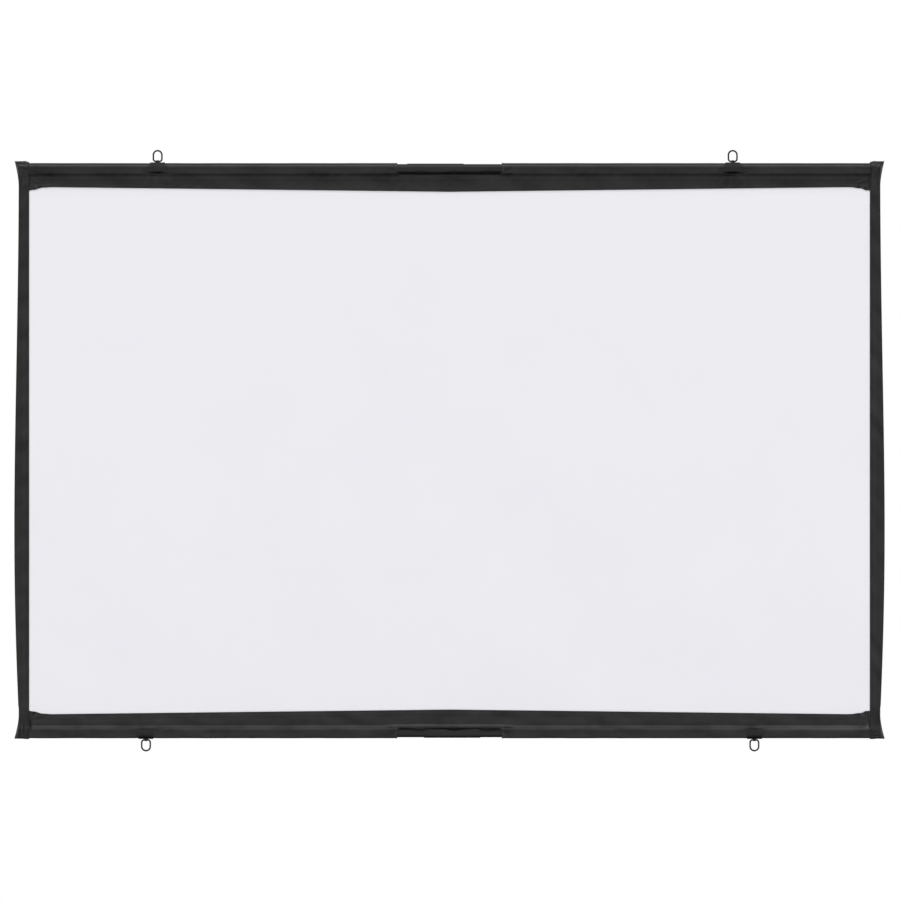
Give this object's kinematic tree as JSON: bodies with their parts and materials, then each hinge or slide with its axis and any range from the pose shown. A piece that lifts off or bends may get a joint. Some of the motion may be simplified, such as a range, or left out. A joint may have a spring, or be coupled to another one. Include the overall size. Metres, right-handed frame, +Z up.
{
  "type": "wall-mounted projection screen",
  "caption": "White projection sheet with black sleeved edges, hung from wire rings on clips that slide along its jointed top and bottom tubes.",
  "frame": {"origin": "on the hanging line, where the hooks bear in the two top rings, at mid width and in the plane of the tube axes", "axes": "+X to the viewer's right along the tubes, -Y towards the viewer, +Z up"},
  "size_m": [1.6042, 0.0252, 1.1099],
  "materials": {
    "white_sheet": "matte white coated cloth",
    "black_cloth": "matte black woven cloth with a faint sheen",
    "tube_paint": "satin black coated steel tube",
    "coupler_paint": "satin black coated steel tube",
    "black_plastic": "moulded black plastic",
    "clip_plastic": "moulded dark plastic, half gloss",
    "ring_steel": "dark plated steel wire"
  },
  "bodies": {
    "screen": {"projection_sheet": "white_sheet", "left_side_binding": "black_cloth", "right_side_binding": "black_cloth", "top_sleeve": "black_cloth", "bottom_sleeve": "black_cloth", "top_left_tube": "tube_paint", "top_right_tube": "tube_paint", "bottom_left_tube": "tube_paint", "bottom_right_tube": "tube_paint", "top_left_end_plug": "black_plastic", "top_right_end_plug": "black_plastic", "bottom_left_end_plug": "black_plastic", "bottom_right_end_plug": "black_plastic"},
    "top_coupler": {"top_coupler": "coupler_paint"},
    "bottom_coupler": {"bottom_coupler": "coupler_paint"},
    "top_left_clip": {"top_left_clip": "clip_plastic"},
    "top_left_ring": {"top_left_ring": "ring_steel"},
    "top_right_clip": {"top_right_clip": "clip_plastic"},
    "top_right_ring": {"top_right_ring": "ring_steel"},
    "bottom_left_clip": {"bottom_left_clip": "clip_plastic"},
    "bottom_left_ring": {"bottom_left_ring": "ring_steel"},
    "bottom_right_clip": {"bottom_right_clip": "clip_plastic"},
    "bottom_right_ring": {"bottom_right_ring": "ring_steel"}
  },
  "joints": [
    {"name": "top_coupler_slide", "type": "slide", "parent": "screen", "child": "top_coupler", "axis": [1, 0, 0], "range_m": [-0.028, 0.08]},
    {"name": "bottom_coupler_slide", "type": "slide", "parent": "screen", "child": "bottom_coupler", "axis": [1, 0, 0], "range_m": [-0.0585, 0.0495]},
    {"name": "top_left_clip_slide", "type": "slide", "parent": "screen", "child": "top_left_clip", "axis": [1, 0, 0], "range_m": [-0.2225, 0.425]},
    {"name": "top_left_ring_swing", "type": "hinge", "parent": "top_left_clip", "child": "top_left_ring", "pos_m": [-0.5385, 0, -0.01842], "axis": [1, 0, 0], "range_deg": [-95, 95]},
    {"name": "top_right_clip_slide", "type": "slide", "parent": "screen", "child": "top_right_clip", "axis": [1, 0, 0], "range_m": [-0.409, 0.2385]},
    {"name": "top_right_ring_swing", "type": "hinge", "parent": "top_right_clip", "child": "top_right_ring", "pos_m": [0.5225, 0, -0.01842], "axis": [1, 0, 0], "range_deg": [-95, 95]},
    {"name": "bottom_left_clip_slide", "type": "slide", "parent": "screen", "child": "bottom_left_clip", "axis": [1, 0, 0], "range_m": [-0.201, 0.4465]},
    {"name": "bottom_left_ring_swing", "type": "hinge", "parent": "bottom_left_clip", "child": "bottom_left_ring", "pos_m": [-0.56, 0, -1.08552], "axis": [1, 0, 0], "range_deg": [-95, 95]},
    {"name": "bottom_right_clip_slide", "type": "slide", "parent": "screen", "child": "bottom_right_clip", "axis": [1, 0, 0], "range_m": [-0.449, 0.1985]},
    {"name": "bottom_right_ring_swing", "type": "hinge", "parent": "bottom_right_clip", "child": "bottom_right_ring", "pos_m": [0.5625, 0, -1.08552], "axis": [1, 0, 0], "range_deg": [-95, 95]}
  ]
}
